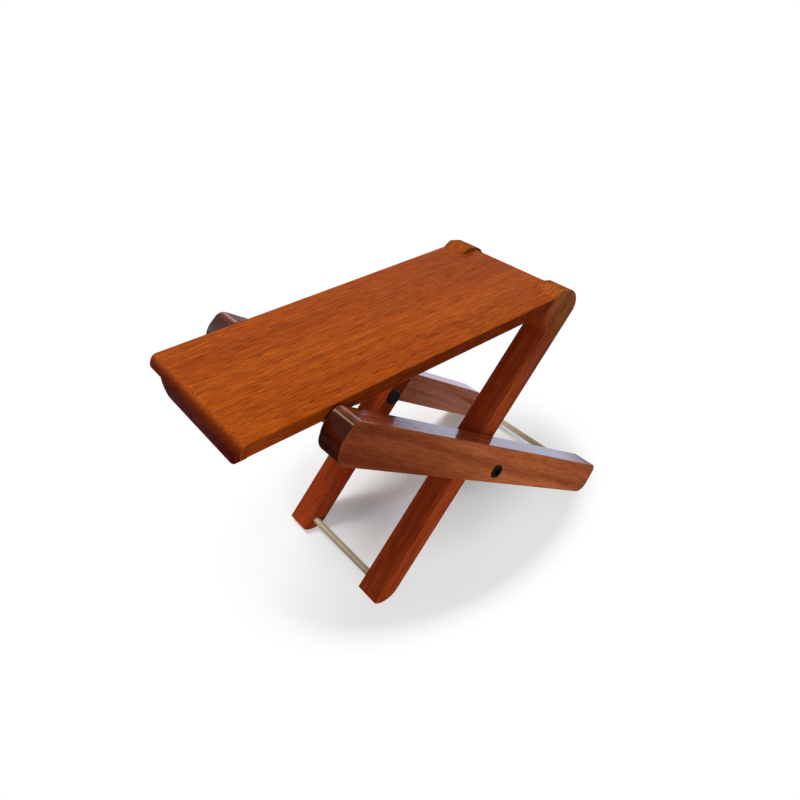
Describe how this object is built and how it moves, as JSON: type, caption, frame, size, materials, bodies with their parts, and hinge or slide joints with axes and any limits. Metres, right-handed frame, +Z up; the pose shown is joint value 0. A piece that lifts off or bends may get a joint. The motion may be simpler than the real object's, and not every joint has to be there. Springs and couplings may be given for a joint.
{
  "type": "folding guitar footrest",
  "caption": "Folding wooden footrest: a flat board hinged on crossed wooden legs, with steel cross rods and a rest rod that carries the board in a notched rack.",
  "frame": {"origin": "on the floor, in the middle of the footprint", "axes": "+X towards the hinge end, +Y to the left side, +Z up"},
  "size_m": [0.2824, 0.1518, 0.1897],
  "materials": {
    "board_wood": "satin lacquer, orange brown",
    "leg_wood": "satin lacquer, red brown",
    "steel": "bright round bar",
    "black_steel": "black oxide",
    "zinc": "zinc plated"
  },
  "bodies": {
    "frame_a": {"inner_leg_right": "leg_wood", "inner_leg_left": "leg_wood", "inner_foot_rod": "steel"},
    "frame_b": {"outer_leg_right": "leg_wood", "outer_leg_left": "leg_wood", "outer_foot_rod": "steel", "rest_rod": "steel", "pivot_bolt_right": "black_steel", "pivot_bolt_left": "black_steel", "pivot_nut_right": "black_steel", "pivot_nut_left": "black_steel", "pivot_washer_right": "zinc", "pivot_washer_left": "zinc"},
    "hinge_rod": {"hinge_rod": "steel"},
    "board": {"top_board": "board_wood", "rack_strip": "leg_wood", "end_rail": "leg_wood", "stop_rail": "leg_wood", "hinge_block": "leg_wood", "hinge_screw_right": "zinc", "hinge_screw_left": "zinc", "rack_screw_right": "zinc", "rack_screw_left": "zinc", "rail_screw_right": "zinc", "rail_screw_left": "zinc", "stop_screw_right": "zinc", "stop_screw_left": "zinc"}
  },
  "joints": [
    {"name": "cross_pivot", "type": "hinge", "parent": "frame_a", "child": "frame_b", "pos_m": [0.02295, 0, 0.08623], "axis": [0, -1, 0], "range_deg": [0, 81.6]},
    {"name": "board_fold", "type": "hinge", "parent": "frame_a", "child": "hinge_rod", "pos_m": [0.10451, 0, 0.1673], "axis": [0, -1, 0], "range_deg": [0, 40.8]},
    {"name": "board_lift", "type": "hinge", "parent": "hinge_rod", "child": "board", "pos_m": [0.10451, 0, 0.1673], "axis": [0, 1, 0], "range_deg": [-0.5, 80]}
  ],
  "couplings": [
    {"joint": "board_fold", "follows": "cross_pivot", "ratio": 0.5}
  ]
}
